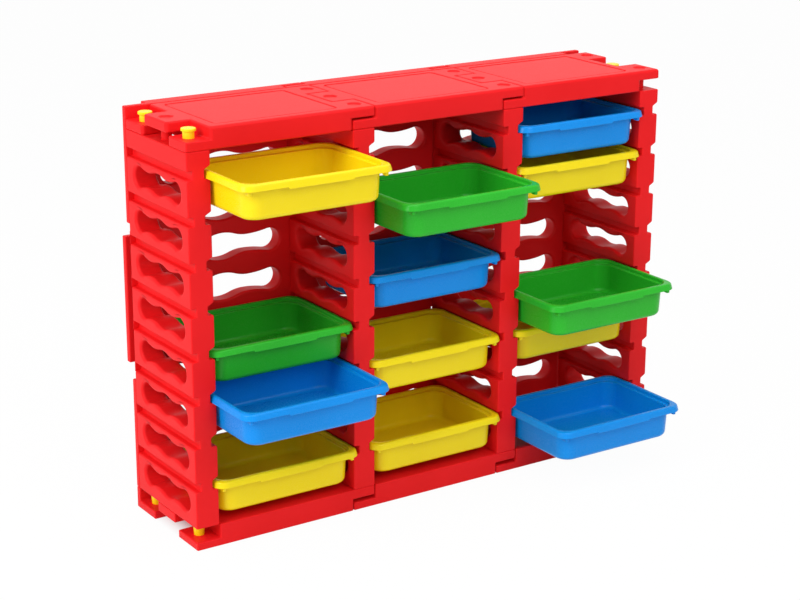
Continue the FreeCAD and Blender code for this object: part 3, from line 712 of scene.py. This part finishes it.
stage = {
    "floorSize": 14.0, "floorDrop": 0.0002, "floorColour": (0.90, 0.90, 0.90), "glow": 0.97,
    "underHalf": (0.549, 0.138), "underSoft": 0.06, "ambient": 0.48, "lampAim": (0, 0, 0.4),
}
softboxes = {
    "leftSoftbox": {"place": (-3.2, -0.6, 2.2), "size": 2.0, "power": 80},
    "frontSoftbox": {"place": (0.2, -3.0, 2.8), "size": 2.4, "power": 48},
    "topSoftbox": {"place": (0.0, -0.2, 3.2), "size": 2.4, "power": 34},
}
camera = {
    "place": (-2.0537, -3.0709, 1.5258), "yaw": 33.767, "pitch": 17.402, "roll": 0.267,
    "lens": 85.40, "sensor": 36.0,
}


def viewingRay(tree):
    # One for the rays that look at the backdrop: from the camera, in a reflection or through glass.
    path, ray = tree.nodes.new("ShaderNodeLightPath"), None
    for kind in ("Is Camera Ray", "Is Glossy Ray", "Is Transmission Ray"):
        node = tree.nodes.new("ShaderNodeMath")
        node.operation = "MAXIMUM"
        node.inputs[0].default_value = 0
        tree.links.new(path.outputs[kind], node.inputs[1])
        if ray:
            tree.links.new(ray, node.inputs[0])
        ray = node.outputs[0]
    return ray


def scaled(tree, value, factor, base):
    # value * factor + base
    node = tree.nodes.new("ShaderNodeMath")
    node.operation = "MULTIPLY_ADD"
    tree.links.new(value, node.inputs[0])
    node.inputs[1].default_value = factor
    node.inputs[2].default_value = base
    return node.outputs[0]


def underMask(tree):
    # One under the rack, falling to nought at its footprint's edge: a ramp in x times one in y.
    coords, split = tree.nodes.new("ShaderNodeTexCoord"), tree.nodes.new("ShaderNodeSeparateXYZ")
    tree.links.new(coords.outputs["Object"], split.inputs[0])
    product = tree.nodes.new("ShaderNodeMath")
    product.operation = "MULTIPLY"
    for i, half in enumerate(stage["underHalf"]):
        away, ramp = tree.nodes.new("ShaderNodeMath"), tree.nodes.new("ShaderNodeMapRange")
        away.operation = "ABSOLUTE"
        tree.links.new(split.outputs[i], away.inputs[0])
        tree.links.new(away.outputs[0], ramp.inputs["Value"])
        ramp.inputs["From Min"].default_value = half
        ramp.inputs["From Max"].default_value = half - stage["underSoft"]
        tree.links.new(ramp.outputs["Result"], product.inputs[i])
    return product.outputs[0]


def floorFinish():
    # A matte floor that glows white for the camera, but not under the rack, so that its shadow still shows.
    material = bpy.data.materials.new("paleFloor")
    material.use_nodes = True
    tree = material.node_tree
    tree.nodes.remove(tree.nodes["Principled BSDF"])
    matte, glow = tree.nodes.new("ShaderNodeBsdfDiffuse"), tree.nodes.new("ShaderNodeEmission")
    matte.inputs["Color"].default_value = (*stage["floorColour"], 1)
    mix, share = tree.nodes.new("ShaderNodeMixShader"), tree.nodes.new("ShaderNodeMath")
    share.operation = "MULTIPLY"
    tree.links.new(viewingRay(tree), share.inputs[0])
    tree.links.new(scaled(tree, underMask(tree), -stage["glow"], stage["glow"]), share.inputs[1])
    tree.links.new(share.outputs[0], mix.inputs["Fac"])
    tree.links.new(matte.outputs[0], mix.inputs[1])
    tree.links.new(glow.outputs[0], mix.inputs[2])
    tree.links.new(mix.outputs[0], tree.nodes["Material Output"].inputs["Surface"])
    return material


def addFloor():
    # One square, a little below the rack's foot.
    reach, z = stage["floorSize"] / 2, -stage["floorDrop"]
    points = [(-reach, -reach, z), (reach, -reach, z), (reach, reach, z), (-reach, reach, z)]
    mesh = bpy.data.meshes.new("studioFloor")
    mesh.from_pydata(points, [], [(0, 1, 2, 3)])
    mesh.materials.append(floorFinish())
    floor = bpy.data.objects.new("studioFloor", mesh)
    scene.collection.objects.link(floor)


def lightWorld():
    # White for the camera and in reflections, and the ambient light for everything else.
    world = bpy.data.worlds.new("paleStudio")
    scene.world = world
    world.use_nodes = True
    tree = world.node_tree
    plain, ambient = tree.nodes["Background"], stage["ambient"]
    plain.inputs["Color"].default_value = (1, 1, 1, 1)
    tree.links.new(scaled(tree, viewingRay(tree), 1 - ambient, ambient), plain.inputs["Strength"])


def addSoftbox(name, look):
    # A square lamp that faces the rack's middle.
    lamp = bpy.data.lights.new(name, "AREA")
    lamp.shape, lamp.size, lamp.energy = "SQUARE", look["size"], look["power"]
    box = bpy.data.objects.new(name, lamp)
    place = Vector(look["place"])
    facing = (place - Vector(stage["lampAim"])).to_track_quat("Z", "Y").to_matrix().to_4x4()
    box.matrix_world = Matrix.Translation(place) @ facing
    scene.collection.objects.link(box)


def addCamera(c):
    # Yaw turns from +Y to +X, pitch looks down, and roll is about the line of sight.
    yaw, pitch, roll = (math.radians(c[k]) for k in ("yaw", "pitch", "roll"))
    ahead = np.array((math.sin(yaw) * math.cos(pitch), math.cos(yaw) * math.cos(pitch), -math.sin(pitch)))
    right = np.array((math.cos(yaw), -math.sin(yaw), 0))
    up = np.cross(right, ahead)
    right, up = math.cos(roll) * right + math.sin(roll) * up, math.cos(roll) * up - math.sin(roll) * right
    data = bpy.data.cameras.new("photoCamera")
    data.lens, data.sensor_width = c["lens"], c["sensor"]
    shooter = bpy.data.objects.new("photoCamera", data)
    turn = np.eye(4)
    turn[:3] = np.stack([right, up, -ahead, c["place"]], -1)
    shooter.matrix_world = Matrix(turn.tolist())
    scene.collection.objects.link(shooter)
    scene.camera = shooter


addFloor()
lightWorld()
for name, look in softboxes.items():
    addSoftbox(name, look)
addCamera(camera)
print("stage, light and camera set")
